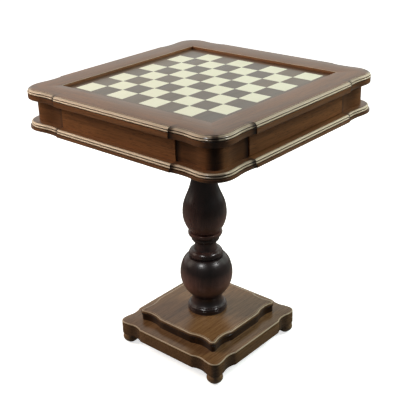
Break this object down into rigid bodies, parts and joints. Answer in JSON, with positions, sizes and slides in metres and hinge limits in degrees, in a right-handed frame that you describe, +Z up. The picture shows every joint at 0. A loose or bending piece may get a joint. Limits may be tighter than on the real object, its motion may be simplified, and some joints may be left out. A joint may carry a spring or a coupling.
{
  "type": "chess table with inlaid board",
  "caption": "Square games table with an inlaid chessboard sunk in a moulded frame, a shallow drawer at each player's side, and a turned column on two stepped plinths with bun feet.",
  "frame": {"origin": "on the floor, under the centre of the table", "axes": "+Z up, -Y to the front, a side with a fixed apron, +X to the right, a side with a drawer where one player sits"},
  "size_m": [0.588, 0.588, 0.691],
  "materials": {
    "stained_walnut": "satin lacquer over a walnut stain",
    "dark_turned_wood": "glossy, almost black stain",
    "walnut_veneer": "satin lacquer",
    "maple_veneer": "satin lacquer",
    "plywood": "plain",
    "beech": "plain, sanded",
    "felt": "short nap",
    "steel": "zinc plated"
  },
  "bodies": {
    "table": {"apron_back": "stained_walnut", "apron_front": "stained_walnut", "apron_glue_blocks": "beech", "board_border_back": "walnut_veneer", "board_border_front": "walnut_veneer", "board_border_left": "walnut_veneer", "board_border_right": "walnut_veneer", "board_panel": "plywood", "bottom_panel": "plywood", "cleat_screws": "steel", "column_ball": "dark_turned_wood", "column_cleat": "beech", "column_vase": "dark_turned_wood", "corner_block_back_left": "stained_walnut", "corner_block_back_right": "stained_walnut", "corner_block_front_left": "stained_walnut", "corner_block_front_right": "stained_walnut", "dark_squares": "walnut_veneer", "drawer_guide_back": "beech", "drawer_guide_front": "beech", "drawer_partition": "beech", "drawer_stop_left": "beech", "drawer_stop_right": "beech", "foot_back_left": "stained_walnut", "foot_back_right": "stained_walnut", "foot_front_left": "stained_walnut", "foot_front_right": "stained_walnut", "foot_pads": "felt", "light_squares": "maple_veneer", "lower_plinth": "stained_walnut", "lower_rail_back": "stained_walnut", "lower_rail_front": "stained_walnut", "lower_rail_left": "stained_walnut", "lower_rail_right": "stained_walnut", "lower_rail_tongues": "beech", "plinth_screws": "steel", "rail_screws": "steel", "tie_rod": "steel", "tie_rod_nuts": "steel", "tie_rod_washers": "steel", "top_rail_back": "stained_walnut", "top_rail_front": "stained_walnut", "top_rail_left": "stained_walnut", "top_rail_right": "stained_walnut", "top_rail_tongues": "beech", "upper_plinth": "stained_walnut"},
    "drawer_right": {"drawer_front_right": "stained_walnut", "drawer_right_back": "beech", "drawer_right_bottom": "plywood", "drawer_right_lining": "felt", "drawer_right_side_back": "beech", "drawer_right_side_front": "beech"},
    "drawer_left": {"drawer_front_left": "stained_walnut", "drawer_left_back": "beech", "drawer_left_bottom": "plywood", "drawer_left_lining": "felt", "drawer_left_side_back": "beech", "drawer_left_side_front": "beech"}
  },
  "joints": [
    {"name": "drawer_right_slide", "type": "slide", "parent": "table", "child": "drawer_right", "axis": [1, 0, 0], "range_m": [0, 0.203]},
    {"name": "drawer_left_slide", "type": "slide", "parent": "table", "child": "drawer_left", "axis": [-1, 0, 0], "range_m": [0, 0.203]}
  ]
}
